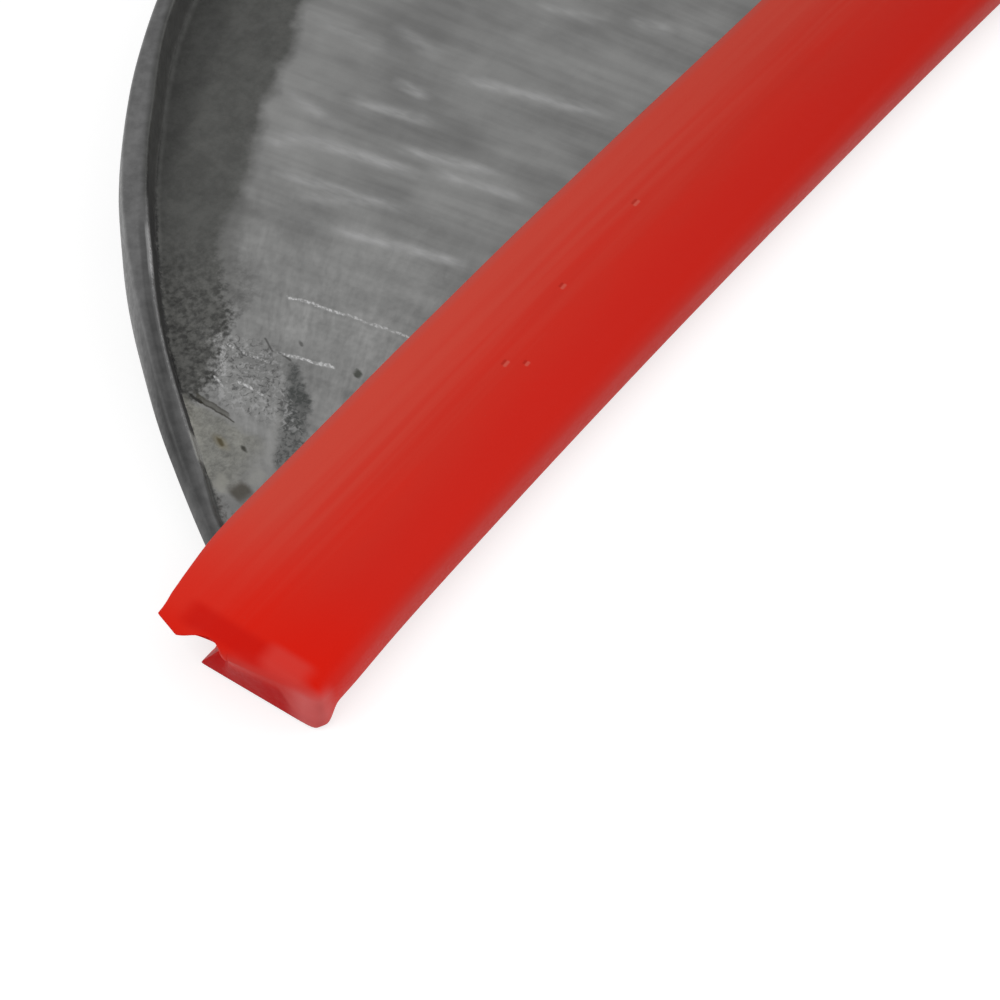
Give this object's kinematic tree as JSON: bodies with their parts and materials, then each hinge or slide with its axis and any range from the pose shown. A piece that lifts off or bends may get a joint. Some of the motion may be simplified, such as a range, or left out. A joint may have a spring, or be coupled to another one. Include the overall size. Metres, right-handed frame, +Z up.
{
  "type": "grass sickle",
  "caption": "Broad-bladed grass sickle with a raised back rib, cranked neck, turned wooden handle and a push-on plastic guard over its cutting edge.",
  "frame": {"origin": "middle of the sickle's footprint, on the bench that it lies on", "axes": "+Y runs from the handle's butt towards the blade, +X towards the back of the crescent, +Z up out of the ribbed face"},
  "size_m": [0.2252, 0.4308, 0.0374],
  "materials": {
    "forged_steel": "forged and ground, with dark scale left beside the rib",
    "red_plastic": "soft plastic with a dull sheen",
    "beech": "turned, sanded and thinly varnished",
    "bright_steel": "plain drawn steel"
  },
  "bodies": {
    "sickle": {"blade": "forged_steel", "handle": "beech", "ferrule": "bright_steel", "ferrule_nail": "bright_steel", "butt_washer": "bright_steel"},
    "guard": {"edge_guard": "red_plastic"}
  },
  "joints": [
    {"name": "guard_pull", "type": "slide", "parent": "sickle", "child": "guard", "axis": [-0.9848, -0.1736, 0], "range_m": [0, 0.08]}
  ]
}
